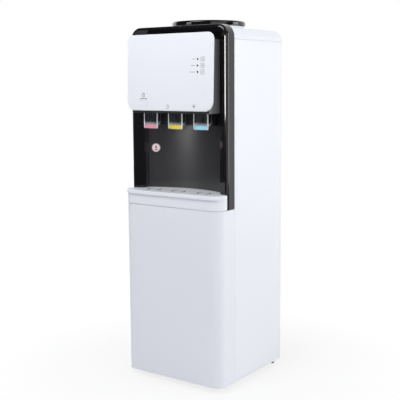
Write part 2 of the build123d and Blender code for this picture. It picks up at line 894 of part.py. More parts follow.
def coil_edges(i):
    """Two tangent arcs for one quarter turn."""
    p, t = coil_station(i)
    q, u = coil_station(i + 1)
    v = q - p
    a = 2 * (1 - t.dot(u))
    b = v.dot(t + u)
    d = (sqrt(b * b + a * v.dot(v)) - b) / a
    middle = (p + q + (t - u) * d) / 2
    heading = v - (t + u) * d
    return [Edge.make_tangent_arc(p, t, middle), Edge.make_tangent_arc(middle, heading, q)]


def evaporator_coil():
    path = Wire([e for i in range(4 * coil_turns) for e in coil_edges(i)])
    start, heading = coil_station(0)
    section = Plane(origin=start, z_dir=heading).location * Face(Wire.make_circle(coil_radius))
    return Pos(0, seat_y, z_shank + hose_radius + coil_radius + 4) * sweep(section, path=path)


def shelf(z):
    reach = half - sheet
    y0 = alcove_sag + 10
    y1 = side_depth - 3 * sheet
    plate = block(-reach, reach, y0, y1, z - tank_sheet, z)
    for side in (-1, 1):
        x0 = side * reach
        x1 = side * (reach - tank_sheet)
        plate += block(min(x0, x1), max(x0, x1), y0, y1, z - shelf_flange, z)
    plate -= post(line_x, side_depth - line_inset, z - 2 * shelf_flange, z + 5, line_radius + 2)
    plate -= post(0, seat_y, z - 20, z + 5, hose_radius + 1)
    return plate - post(-hose_x, seat_y, z - 20, z + 5, hose_radius + 1)


def tank_shelves():
    return group([shelf(z_cold_shelf), shelf(z_hot_shelf)])


def hot_tank():
    r = hot_radius
    t = tank_sheet
    z1 = z_hot + hot_height
    points = [(0, z_hot, 0), (r, z_hot, 8), (r, z1, 8), (feed_radius, z1, 0), (feed_radius, z_cold, 0)]
    points += [(feed_radius - t, z_cold, 0), (feed_radius - t, z1 - t, 0), (r - t, z1 - t, 7)]
    points += [(r - t, z_hot + t, 7), (0, z_hot + t, 0)]
    tank = turned(points, 0, seat_y)
    tank += rod_x(-jacket_radius - hose_nib, 1 - r, seat_y, z1 - hot_outlet, barb_radius)
    low = z_hot + heater_rise
    high = low + band_heater
    tank += turned([(r - 0.5, low, 0), (r + 1.5, low, 0), (r + 1.5, high, 0), (r - 0.5, high, 0)], 0, seat_y)
    return tank + post(0, seat_y, z_hot_shelf - 12, z_hot + 1, barb_radius)


def hot_jacket():
    r = jacket_radius
    bore = hot_radius + 2
    z1 = z_hot + hot_height
    low = barb_radius + fit
    high = feed_radius + fit
    points = [(low, z_hot_shelf, 0), (r, z_hot_shelf, 4), (r, z1 + 6, 4), (high, z1 + 6, 0)]
    points += [(high, z1 + fit, 0), (bore, z1 + fit, 0), (bore, z_hot - fit, 0), (low, z_hot - fit, 0)]
    jacket = turned(points, 0, seat_y)
    return jacket - rod_x(-r - 5, 0, seat_y, z1 - hot_outlet, barb_radius + fit)


def tap_hose(name, x):
    start = (x, carrier_front + carrier_wall + nut_thick + 2 + fit, z_shank)
    inner = barb_radius + 0.05
    if name == "normal":
        return pipe([start, (x, seat_y - cold_radius - fit, z_shank)], 0, hose_radius, inner)
    if name == "hot":
        z1 = z_hot + hot_height - hot_outlet
        run = [(-hose_x, seat_y, z_shank), (-hose_x, seat_y, z1), (-jacket_radius - fit, seat_y, z1)]
    else:
        z1 = z_cold + cold_outlet
        run = [(hose_x, seat_y, z_shank), (hose_x, seat_y, z1), (foam_radius + fit, seat_y, z1)]
    return pipe([start, (x, y_knee, z_shank)] + run, hose_bend, hose_radius, inner)


def drain_hose():
    points = [(0, seat_y, z_hot_shelf - 2), (0, seat_y, drain_z + drain_rise)]
    points += [(drain_x, seat_y, drain_z), (drain_x, y_panel - 12, drain_z)]
    return pipe(points, 24, hose_radius, barb_radius + 0.05)


def drain_spigot():
    spigot = rod_y(drain_x, y_panel - 12, y_panel + 14, drain_z, drain_radius)
    spigot += rod_y(drain_x, y_panel - 28, y_panel - 11, drain_z, barb_radius)
    spigot += rod_y(drain_x, y_panel, y_panel + 3, drain_z, drain_radius + 4)
    return spigot - rod_y(drain_x, y_panel - 30, y_panel + 20, drain_z, barb_radius - 1.5)


def drain_cap():
    y0 = y_panel + 3 + fit
    y1 = y_panel + 20
    cap = rod_y(drain_x, y0, y1, drain_z, drain_radius + 3)
    cap = fillet(cap.faces().sort_by(Axis.Y)[-1].edges(), 1.5)
    for i in range(12):
        rib = block(-1, 1, y0, y1 - 3, drain_radius + 2, drain_radius + 4)
        cap += Pos(drain_x, 0, drain_z) * Rot(0, 30 * i, 0) * rib
    return cap - rod_y(drain_x, y0 - 1, y_panel + 14 + fit, drain_z, drain_radius + fit)


def cord_gland():
    gland = rod_y(gland_x, y_panel, y_panel + 3, drain_z, gland_radius + 3)
    gland += rod_y(gland_x, y_panel - 8, y_panel + 1, drain_z, gland_radius)
    sleeve = rod_y(gland_x, y_panel, y_panel + 16, drain_z, gland_radius - 1)
    gland += fillet(sleeve.faces().sort_by(Axis.Y)[-1].edges(), 2)
    for i in range(3):
        y = y_panel + 5 + i * 3.5
        groove = rod_y(gland_x, y, y + 1.2, drain_z, gland_radius)
        gland -= groove - rod_y(gland_x, y - 1, y + 3, drain_z, gland_radius - 2.4)
    return gland - rod_y(gland_x, y_panel - 10, y_panel + 20, drain_z, gland_bore)


def compressor_profile(inset):
    r = compressor_radius - inset
    low = z_compressor + 6 + inset
    top = z_compressor + 3 + compressor_height - inset
    mid = z_stub + stub_drop
    points = [(0, low, 0), (r - 3, low, 14 - inset / 2), (r, mid, 0)]
    if inset == 0:
        points += [(r + 3, mid, 0), (r + 3, mid + 4, 0), (r, mid + 4, 0)]
    return points + [(r - 2, top, 30 - inset), (0, top, 0)]


def compressor():
    """Housing whose thick wall stands for the pump and motor inside it."""
    r = compressor_radius
    z0 = z_compressor
    z1 = z0 + 3
    shell = turned(compressor_profile(0), 0, compressor_y)
    x = mount_x + 14
    y = mount_y + 14
    plate = prism(outline([(-x, -y, 12), (x, -y, 12), (x, y, 12), (-x, y, 12)]), z0, z1)
    shell += Pos(0, compressor_y, 0) * plate
    shell += post(0, compressor_y, z1 - 1, z1 + 6, r * 0.6)
    y1 = compressor_y + r + stub_length
    for stub in (-stub_x, stub_x):
        shell += rod_y(stub, compressor_y + r * 0.7, y1, z_stub, line_radius + 1)
    shell -= turned(compressor_profile(compressor_wall), 0, compressor_y)
    for stub in (-stub_x, stub_x):
        shell -= rod_y(stub, compressor_y, y1 + 1, z_stub, line_radius - 1)
    for x in (-mount_x, mount_x):
        for y in (-mount_y, mount_y):
            shell -= post(x, compressor_y + y, z0 - 1, z1 + 1, 5)
    return shell


def compressor_mounts():
    z0 = z_base + sheet
    z1 = z0 + mount_height
    solids = []
    points = [(0, z0, 0), (11, z0, 1), (11, z0 + 6, 1), (8, z0 + 9, 1), (8, z1 - 9, 1), (11, z1 - 6, 1)]
    points += [(11, z1, 0), (4.7, z1, 0), (4.7, z1 + 6, 1), (0, z1 + 6, 0)]
    for x in (-mount_x, mount_x):
        for y in (-mount_y, mount_y):
            solids.append(turned(points, x, compressor_y + y))
    return group(solids)


def relay_box():
    z0 = z_base + sheet + mount_height + relay_rise
    z1 = z0 + relay_height
    x0 = -compressor_radius - relay_depth
    x1 = relay_depth - compressor_radius
    box = block(x0, x1, compressor_y - relay_width / 2, compressor_y + relay_width / 2, z0, z1)
    box = fillet(box.edges().filter_by(Axis.X), 4)
    return box - post(0, compressor_y, z0 - 1, z1 + 1, compressor_radius + fit)


def stub_end(x):
    return (x, compressor_y + compressor_radius + stub_length + fit, z_stub)


def refrigerant_lines():
    return group([discharge_line(), suction_line()])


def discharge_line():
    x, y, z = stub_end(-stub_x)
    x1 = -condenser_end
    points = [(x, y, z), (x, y_coil, z), (x1, y_coil, z), (x1, y_coil, condenser_start)]
    return pipe(points, line_bend, line_radius)


def suction_line():
    x, y, z = stub_end(stub_x)
    y1 = side_depth - line_inset
    z1 = z_cold + cold_height - line_drop
    scale = (foam_radius + fit) / hypot(line_x, y1 - seat_y)
    end = (line_x * scale, seat_y + (y1 - seat_y) * scale, z1)
    return pipe([(x, y, z), (x, y1, z), (line_x, y1, z), (line_x, y1, z1), end], 10, line_radius)


def condenser_tube():
    bend_r = condenser_pitch / 2
    reach = condenser_half + bend_r * 0.6
    points = [((-condenser_end, y_coil, condenser_start + fit), 0)]
    points.append(((-condenser_end, y_coil, condenser_low), 12))
    for i in range(condenser_runs - 1):
        z = condenser_low + i * condenser_pitch
        x = reach if i % 2 == 0 else -reach
        points.append(((x, y_coil, z), bend_r * 0.99))
        points.append(((x, y_coil, z + condenser_pitch), bend_r * 0.99))
    points.append(((condenser_end, y_coil, condenser_top), 10))
    points.append(((condenser_end, y_drier, condenser_top), 8))
    points.append(((condenser_end, y_drier, z_drier), 0))
    path = chain([(Vector(*p), r) for p, r in points], False)
    plane = Plane(origin=path @ 0, z_dir=path % 0)
    return sweep(plane.location * Face(Wire.make_circle(tube_radius)), path=path)


def filter_drier():
    z1 = z_drier - fit
    z0 = z1 - drier_length
    r = drier_radius
    points = [(0, z0, 0), (3, z0, 0), (r, z0 + 12, 3), (r, z1 - 14, 3), (3, z1, 0), (0, z1, 0)]
    return turned(points, condenser_end, y_drier)


def condenser_wires():
    solids = []
    step = tube_radius + wire_gap + wire_radius
    for i in range(wire_count):
        x = (i - (wire_count - 1) / 2) * wire_pitch
        for y in (y_coil - step, y_coil + step):
            solids.append(post(x, y, condenser_low - 6, condenser_top + 6, wire_radius))
    return group(solids)


def condenser_clips():
    solids = []
    for i in (1, condenser_runs - 2):
        z = condenser_low + i * condenser_pitch
        for side in (-1, 1):
            x = side * clip_x
            clip = block(x - 9, x + 9, y_panel, y_panel + 1.5, z - 7, z + 7)
            tip = y_rear - fit
            arm = [(y_panel, z - 6, 0), (tip, z - 6, 5), (tip, z + 6, 5), (y_panel, z + 6, 0)]
            clip += slab_yz(arm, x - 0.8, x + 0.8)
            solids.append(clip - rod_x(x - 5, x + 5, y_coil, z, tube_radius + pin_fit))
    return group(solids)


def switch_bodies():
    solids = []
    for i in range(2):
        x = switch_x + i * switch_pitch
        w = switch_half
        h = switch_rise
        rim = Pos(x, y_panel + 1, switch_z) * Box(2 * (w + switch_rim), 2, 2 * (h + switch_rim))
        rim = fillet(rim.edges().filter_by(Axis.Y), 1.5)
        body = rim + block(x - w, x + w, y_panel - 14, y_panel + 1, switch_z - h, switch_z + h)
        body -= block(x - w + 1, x + w - 1, y_panel - 7, y_panel + 5, switch_z - h + 1.5, switch_z + h - 1.5)
        solids.append(body + rod_x(x - w, x + w, y_panel - 1, switch_z, rocker_pin))
    return group(solids)


def rocker(i):
    x = switch_x + i * switch_pitch
    points = [(-7.2, 3.8), (0, 2.6), (7.2, 3.8), (6.4, -1.5), (0, -3), (-6.4, -1.5)]
    turn = radians(rocker_turn / 2)
    tilted = []
    for z, y in points:
        back = y_panel - 1 + y * cos(turn) - z * sin(turn)
        tilted.append((back, switch_z + z * cos(turn) + y * sin(turn), 0))
    w = switch_half - 1 - fit
    pivot = rod_x(x - w - 1, x + w + 1, y_panel - 1, switch_z, rocker_pin + pin_fit)
    return slab_yz(tilted, x - w, x + w) - pivot


def save(name, shape):
    export_step(Pos(0, y_seam, 0) * shape, f"parts/{name}.step")


save("base_pan", base_pan())
save("feet", feet())
save("left_side_panel", side_panel(-1))
save("right_side_panel", side_panel(1))
save("rear_panel", rear_panel())
save("rear_screws", rear_screws())
save("top_cover", top_cover())
save("lower_front_panel", lower_front_panel())
save("tray_holder", tray_holder())
save("drip_tray", drip_tray())
save("drip_grid", drip_grid())
save("front_bezel", front_bezel())
save("alcove_liner", alcove_liner())
save("tap_hood", tap_hood())
save("tap_carrier", tap_carrier())
save("control_panel", control_panel())
save("indicator_lenses", indicator_lenses())
save("indicator_board", indicator_board())
save("lock_button", lock_button())
for tap_name, tap_x in taps.items():
    save(f"{tap_name}_tap", tap_body(tap_x))
    save(f"{tap_name}_lever", lever(tap_x))
    save(f"{tap_name}_band", lever_band(tap_x))
    save(f"{tap_name}_stem", valve_stem(tap_x))
    save(f"{tap_name}_hose", tap_hose(tap_name, tap_x))
save("lever_pins", lever_pins())
save("tap_nuts", tap_nuts())
save("bottle_seat", bottle_seat())
save("bottle_spike", bottle_spike())
save("seat_seal", seat_seal())
save("cold_tank", cold_tank())
save("cold_insulation", cold_insulation())
save("evaporator_coil", evaporator_coil())
save("tank_shelves", tank_shelves())
save("hot_tank", hot_tank())
save("hot_jacket", hot_jacket())
save("drain_hose", drain_hose())
save("drain_spigot", drain_spigot())
save("drain_cap", drain_cap())
save("cord_gland", cord_gland())
save("compressor", compressor())
save("compressor_mounts", compressor_mounts())
save("relay_box", relay_box())
save("refrigerant_lines", refrigerant_lines())
save("filter_drier", filter_drier())
save("condenser_tube", condenser_tube())
save("condenser_wires", condenser_wires())
save("condenser_clips", condenser_clips())
save("switch_bodies", switch_bodies())
save("heating_rocker", rocker(0))
save("cooling_rocker", rocker(1))
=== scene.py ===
import json
import math

import bmesh
import bpy
from mathutils import Matrix, Quaternion, Vector


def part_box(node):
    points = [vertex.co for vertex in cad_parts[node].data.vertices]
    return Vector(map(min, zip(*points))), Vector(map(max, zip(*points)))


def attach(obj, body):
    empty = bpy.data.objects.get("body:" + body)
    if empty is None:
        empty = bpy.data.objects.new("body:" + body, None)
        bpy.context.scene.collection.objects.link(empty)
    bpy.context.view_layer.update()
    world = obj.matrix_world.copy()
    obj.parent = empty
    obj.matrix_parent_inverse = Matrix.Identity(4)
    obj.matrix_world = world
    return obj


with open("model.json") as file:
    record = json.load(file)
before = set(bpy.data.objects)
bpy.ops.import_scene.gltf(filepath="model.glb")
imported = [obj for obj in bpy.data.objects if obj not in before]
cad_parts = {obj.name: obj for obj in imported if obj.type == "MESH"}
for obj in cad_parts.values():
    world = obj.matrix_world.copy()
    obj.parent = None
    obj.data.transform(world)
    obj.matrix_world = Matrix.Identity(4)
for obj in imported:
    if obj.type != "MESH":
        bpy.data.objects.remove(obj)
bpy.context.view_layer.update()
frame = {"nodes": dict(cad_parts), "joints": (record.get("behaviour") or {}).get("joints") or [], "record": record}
nodes = frame["nodes"]

# Lengths are in metres
MM = 0.001

# The control panel and the ink printed on it
PANEL_EDGE = 2.2 * MM
PANEL_THICK = 6.0 * MM
INK = 0.12 * MM
STROKE = 1.0 * MM
HAIRLINE = 0.6 * MM

# Printed signs: places across and up the panel's face
LAMP_X = 91.0 * MM
LAMP_UP = (97.1 * MM, 112.9 * MM, 128.7 * MM)
LAMP_SIGN = 5.2 * MM
LAMP_SIGN_X = LAMP_X + 15.0 * MM
DASH_END_X = LAMP_X - 8.0 * MM
DASH_LENGTHS = (15.0 * MM, 12.0 * MM, 8.0 * MM)
TAP_SIGN = 6.0 * MM
SMALL_TAP_SIGN = 0.9 * TAP_SIGN
LOCK_SIGN_UP = 41.0 * MM
LOCK_LINE_UP = 31.0 * MM
LOCK_LINE_LENGTH = 24.0 * MM
LOCK_LINE_WIDTH = 1.5 * MM
DROP_SIGN_X = -1.0 * MM
DROP_SIGN_UP = 12.0 * MM
COLD_SIGN_UP = 12.5 * MM

# The taps: their pitch, the clear levers over the coloured bands with a painted highlight on their edges, the hood
# whose side walls get a painted sheen, and the drain slots below with painted shade inside them
TAP_PITCH = 81.0 * MM
LEVER_HALF = 23.0 * MM
LEVER_HIGHLIGHT_WIDTH = 2.8 * MM
LEVER_END = 1.2 * MM
EDGE_HIGHLIGHT_SHARE = 0.9
BAND_TOP = 685.6 * MM
HAZE_HEIGHT = 8.0 * MM
HAZE_SHARE = 0.3
HOOD_WALL = 1.0 * MM
DRAIN_Y = -125.5 * MM
DRAIN_RING = 17.0 * MM
DRAIN_SLOT = 5.0 * MM
SLOT_SHADE_MARGIN = 0.3 * MM
GRID_SKIN = 0.1 * MM

# The round sticker on the alcove's hollow wall
STICKER_RADIUS = 11.5 * MM
STICKER_THICK = 0.3 * MM
STICKER_STRIPS = 9
STICKER_X = -104.0 * MM
STICKER_Z = 620.0 * MM
STICKER_DROP_UP = 1.4 * MM
STICKER_DROP_RADIUS = 2.9 * MM
STICKER_DASH_UP = -5.2 * MM
STICKER_DASH_LENGTH = 7.5 * MM
STICKER_DASH_WIDTH = 3.2 * MM
STICKER_RING_INSET = 1.0 * MM
ALCOVE_RADIUS = 232.3 * MM
ALCOVE_CENTRE_Y = -294.8 * MM

# Depths of the surface grain, and the radii by which moulded edges are softened
GRAIN = 0.2 * MM
FINE_GRAIN = 0.1 * MM
BOARD_TRACK = 0.05 * MM
BEAD = 0.8 * MM
WHITE_EDGE = 0.8 * MM
BLACK_EDGE = 0.6 * MM
ROCKER_EDGE = 0.5 * MM
CURVE_STEPS = 24

# The photographed view, recovered from the photo's edges
CAMERA_PLACE = (1.30603, -1.84057, 0.79949)
CAMERA_TARGET = (-0.03982, 0.0255, 0.46796)
CAMERA_ROLL = -0.41
CAMERA_SENSOR = 36.0
CAMERA_LENS = 74.7
CAMERA_NEAR = 0.01

# Studio lamps: name, place, aim, width and height in metres, power in watts
LAMPS = (
    ("right_key", (1.76, 1.32, 0.95), (0.1, 0, 0.6), 0.85, 1.4, 16.5),
    ("right_front", (2.0, -0.9, 0.9), (0, 0, 0.5), 2.0, 1.6, 13.0),
    ("right_high", (1.3, 0.25, 2.2), (0, 0, 0.9), 0.8, 0.8, 5.5),
    ("left_front", (-1.1, -2.1, 1.2), (0, 0, 0.65), 0.7, 0.5, 4.2),
    ("left_side", (-2.2, 0.6, 1.1), (0, 0, 0.5), 1.8, 1.6, 16.0),
    ("front_top", (-0.15, -1.15, 1.65), (0, -0.1, 0.75), 0.8, 0.5, 7.9),
    ("front_high", (0.0, -1.15, 2.4), (0, -0.1, 0.6), 1.0, 0.5, 9.0),
)
# The soft light on the alcove's wall and the white line on the front frame's rounding
ALCOVE_GLEAM = ("alcove_gleam", (-0.56, -1.09, 0.74), (0, -0.06, 0.66), 0.36, 0.15, 1.5)
EDGE_STRIP = ("edge_strip", (0.0, -4.2, 0.86), (0, 0, 0.8), 2.0, 0.66, 130.0)

# Studio surroundings: the fill light, and the wall that gloss and clear plastic see
FILL_COLOUR = (0.252, 0.267, 0.314, 1.0)
WALL_DARK = (0.075, 0.075, 0.08, 1.0)
WALL_BRIGHT = (1.2, 1.2, 1.2, 1.0)
WALL_DARK_TO = 0.55
WALL_BRIGHT_FROM = 0.8
BACKWARD = (0.0, 1.0, 0.0)
FLOOR_RADIUS = 2.4
FLOOR_FADE = (0.2, 0.6)
FLOOR_GLOW = (0.8, 1.0)


class Value:
    """A shader socket that can be used in arithmetic, in the tree it belongs to."""

    def __init__(self, tree, socket=None):
        self.tree = tree
        self.socket = socket

    def node(self, kind, settings=None, inputs=None, out=0):
        """Adds any node: its settings first, then the values or links of its sockets."""
        made = self.tree.nodes.new(kind)
        for key, value in (settings or {}).items():
            if key == "stops":
                for stop, (at, colour) in zip(made.color_ramp.elements, value):
                    stop.position = at
                    stop.color = colour
            else:
                setattr(made, key, value)
        for key, value in (inputs or {}).items():
            if isinstance(value, Value):
                self.tree.links.new(value.socket, made.inputs[key])
            else:
                made.inputs[key].default_value = value
        return Value(self.tree, made.outputs[out] if len(made.outputs) else None)

    def maths(self, operation, first, second):
        return self.node("ShaderNodeMath", {"operation": operation}, {0: first, 1: second})

    def __add__(self, other):
        return self.maths("ADD", self, other)

    def __radd__(self, other):
        return self.maths("ADD", other, self)

    def __sub__(self, other):
        return self.maths("SUBTRACT", self, other)

    def __rsub__(self, other):
        return self.maths("SUBTRACT", other, self)

    def __mul__(self, other):
        return self.maths("MULTIPLY", self, other)

    def __rmul__(self, other):
        return self.maths("MULTIPLY", other, self)

    def __gt__(self, other):
        return self.maths("GREATER_THAN", self, other)

    def __abs__(self):
        return self.maths("ABSOLUTE", self, 0.0)

    def mix(self, first, second):
        """A colour between two, this value being the share of the second."""
        return self.node("ShaderNodeMix", {"data_type": "RGBA"}, {0: self, 6: first, 7: second}, 2)

    def ramp(self, *stops):
        return self.node("ShaderNodeValToRGB", {"stops": stops}, {0: self})


def rgb(red, green, blue):
    return (red, green, blue, 1.0)


def start(name):
    material = bpy.data.materials.new(name)
    material.use_nodes = True
    material.node_tree.nodes.clear()
    return material, Value(material.node_tree)


def coordinate(net, axis):
    """One of the three Object coordinates."""
    place = net.node("ShaderNodeTexCoord", out="Object")
    return net.node("ShaderNodeSeparateXYZ", {}, {0: place}, axis)


def from_tap(net):
    """The sideways distance from the middle of the nearest tap."""
    aside = abs(coordinate(net, "X"))
    return net.maths("MINIMUM", aside, abs(aside - TAP_PITCH))


def noise(net, scale, detail=2.0, stretch=(1, 1, 1)):
    place = net.node("ShaderNodeTexCoord", out="Object")
    if stretch != (1, 1, 1):
        place = net.node("ShaderNodeMapping", {}, {"Vector": place, "Scale": stretch})
    return net.node("ShaderNodeTexNoise", {}, {"Vector": place, "Scale": scale, "Detail": detail})


def bumped(net, height, strength, depth, edge=0.0):
    """A normal with a grain of some depth, and with edges softened by a radius."""
    inputs = {"Height": height, "Strength": strength, "Distance": depth}
    if edge > 0:
        inputs["Normal"] = net.node("ShaderNodeBevel", {"samples": 6}, {"Radius": edge})
    return net.node("ShaderNodeBump", {}, inputs)


def close(net, material, inputs):
    shader = net.node("ShaderNodeBsdfPrincipled", {}, inputs)
    net.node("ShaderNodeOutputMaterial", {}, {"Surface": shader})
    return material


def moulded(name, colour, shade, rough, grain, strength, edge=0.0, uneven=0.08, extra=None):
    """Injection-moulded plastic: faint flow clouds, uneven gloss and a fine surface grain."""
    material, net = start(name)
    cloud = noise(net, 9.0, 3.0)
    skin = noise(net, grain)
    inputs = {
        "Base Color": cloud.mix(colour, shade),
        "Roughness": rough + uneven * noise(net, 40.0) + 0.6 * uneven * cloud,
        "Normal": bumped(net, skin, strength, GRAIN, edge),
    }
    inputs.update(extra or {})
    return close(net, material, inputs)


def painted(name, colour, shade, rough):
    """Baked paint on sheet metal: a soft orange peel under an even gloss."""
    material, net = start(name)
    cloud = noise(net, 5.0, 4.0)
    peel = noise(net, 700.0) * 0.7 + noise(net, 160.0) * 0.3
    inputs = {
        "Base Color": cloud.mix(colour, shade),
        "Roughness": rough + 0.06 * cloud,
        "Normal": bumped(net, peel, 0.05, GRAIN),
    }
    return close(net, material, inputs)


def brushed(name, colour, shade, rough, stretch):
    """Rolled or drawn metal with its fine lines along one way."""
    material, net = start(name)
    lines = noise(net, 60.0, 5.0, stretch)
    cloud = noise(net, 12.0, 3.0)
    inputs = {
        "Base Color": (0.6 * lines + 0.4 * cloud).mix(colour, shade),
        "Metallic": 1.0,
        "Roughness": rough + 0.18 * lines,
        "Normal": bumped(net, lines, 0.06, FINE_GRAIN),
    }
    return close(net, material, inputs)


def galvanised(name):
    """Zinc-coated sheet with its crystal spangle."""
    material, net = start(name)
    place = net.node("ShaderNodeTexCoord", out="Object")
    spangle = net.node("ShaderNodeTexVoronoi", {}, {"Vector": place, "Scale": 85.0}, "Color")
    tone = net.node("ShaderNodeSeparateColor", {}, {0: spangle})
    dust = noise(net, 14.0, 4.0)
    inputs = {
        "Base Color": (0.7 * tone + 0.3 * dust).mix(rgb(0.47, 0.49, 0.51), rgb(0.66, 0.68, 0.69)),
        "Metallic": 0.9,
        "Roughness": 0.3 + 0.16 * tone + 0.1 * dust,
        "Normal": bumped(net, tone, 0.03, FINE_GRAIN),
    }
    return close(net, material, inputs)


def clear_plastic(name):
    """Clear push levers: polished walls whose side edges are painted milky white as a painted highlight, hazed
    just above the band.
    """
    material, net = start(name)
    drag = noise(net, 120.0, 2.0, (1, 1, 0.15))
    depth = coordinate(net, "Y")
    height = coordinate(net, "Z")
    # Painted highlight: where the side walls meet the lever's ends, milky white is mixed in to stand for glints
    ends = (lever_low.y + LEVER_END - depth > 0.0) + (depth > lever_high.y - LEVER_END)
    edge_highlight = (from_tap(net) > LEVER_HALF - LEVER_HIGHLIGHT_WIDTH) * ends
    haze_range = {
        "Value": height,
        "From Min": BAND_TOP,
        "From Max": BAND_TOP + HAZE_HEIGHT,
        "To Min": HAZE_SHARE,
        "To Max": 0.0,
    }
    haze = net.node("ShaderNodeMapRange", {}, haze_range) * (height > BAND_TOP)
    clear = {
        "Base Color": rgb(0.97, 0.98, 0.99),
        "Roughness": 0.01 + 0.02 * drag,
        "Transmission Weight": 1.0,
        "IOR": 1.49,
        "Normal": bumped(net, drag, 0.004, FINE_GRAIN),
    }
    milky_and_highlight = {"Base Color": rgb(0.95, 0.96, 0.97), "Roughness": 0.12 + 0.05 * drag}
    glass = net.node("ShaderNodeBsdfPrincipled", {}, clear)
    white = net.node("ShaderNodeBsdfPrincipled", {}, milky_and_highlight)
    shadow = net.node("ShaderNodeLightPath", out="Is Shadow Ray")
    open_glass = net.node("ShaderNodeBsdfTransparent", {}, {"Color": rgb(0.93, 0.94, 0.95)})
    lit = net.node("ShaderNodeMixShader", {}, {0: shadow, 1: glass, 2: open_glass})
    # The white shader's share is the painted edge highlight or the haze, whichever is more
    share = net.maths("MAXIMUM", EDGE_HIGHLIGHT_SHARE * edge_highlight, haze)
    mixed = net.node("ShaderNodeMixShader", {}, {0: share, 1: lit, 2: white})
    net.node("ShaderNodeOutputMaterial", {}, {"Surface": mixed})
    return material


def hood_plastic(name):
    """Black hood with textured side walls, whose base colour is lighter grey as a painted sheen."""
    material, net = start(name)
    # Painted sheen: the side walls take a lighter grey base colour in place of the reflection they would catch
    side = abs(coordinate(net, "X")) > hood_high.x - HOOD_WALL
    inputs = {
        "Base Color": side.mix(rgb(0.018, 0.018, 0.02), rgb(0.16, 0.16, 0.165)),
        "Roughness": 0.34 + 0.08 * noise(net, 40.0),
        "Normal": bumped(net, noise(net, 800.0), 0.08, GRAIN),
    }
    return close(net, material, inputs)


def grid_plastic(name):
    """White drip grid with painted shade on the walls inside its drain slots."""
    material, net = start(name)
    across = from_tap(net)
    forward = coordinate(net, "Y") - DRAIN_Y
    away = net.maths("POWER", across * across + forward * forward, 0.5)
    # Painted shade: within the ring of drain slots, faces below the grid's top are coloured nearly black
    slot_shade = 0.5 * DRAIN_SLOT + SLOT_SHADE_MARGIN - abs(away - DRAIN_RING) > 0.0
    below = grid_high.z - GRID_SKIN - coordinate(net, "Z") > 0.0
    white = noise(net, 9.0, 3.0).mix(rgb(0.86, 0.87, 0.9), rgb(0.852, 0.863, 0.894))
    inputs = {
        "Base Color": (slot_shade * below).mix(white, rgb(0.02, 0.02, 0.025)),
        "Roughness": 0.36 + 0.02 * noise(net, 40.0),
        "Normal": bumped(net, noise(net, 30.0), 0.01, GRAIN, WHITE_EDGE),
    }
    return close(net, material, inputs)


def foamed(name):
    """White moulded beads of the insulation."""
    material, net = start(name)
    place = net.node("ShaderNodeTexCoord", out="Object")
    beads = net.node("ShaderNodeTexVoronoi", {}, {"Vector": place, "Scale": 260.0}, "Distance")
    inputs = {
        "Base Color": beads.mix(rgb(0.84, 0.84, 0.82), rgb(0.6, 0.6, 0.58)),
        "Roughness": 0.8 + 0.1 * beads,
        "Normal": bumped(net, 1 - beads, 0.5, BEAD),
    }
    return close(net, material, inputs)


def circuit_board(name):
    """Green resist with paler tracks."""
    material, net = start(name)
    place = net.node("ShaderNodeTexCoord", out="Object")
    wave = {"Vector": place, "Scale": 70.0, "Distortion": 3.0}
    tracks = net.node("ShaderNodeTexWave", {"wave_profile": "SAW"}, wave, 1)
    copper = tracks > 0.82
    inputs = {
        "Base Color": copper.mix(rgb(0.02, 0.11, 0.04), rgb(0.06, 0.24, 0.09)),
        "Roughness": 0.38 + 0.12 * tracks,
        "Normal": bumped(net, copper, 0.2, BOARD_TRACK),
    }
    return close(net, material, inputs)


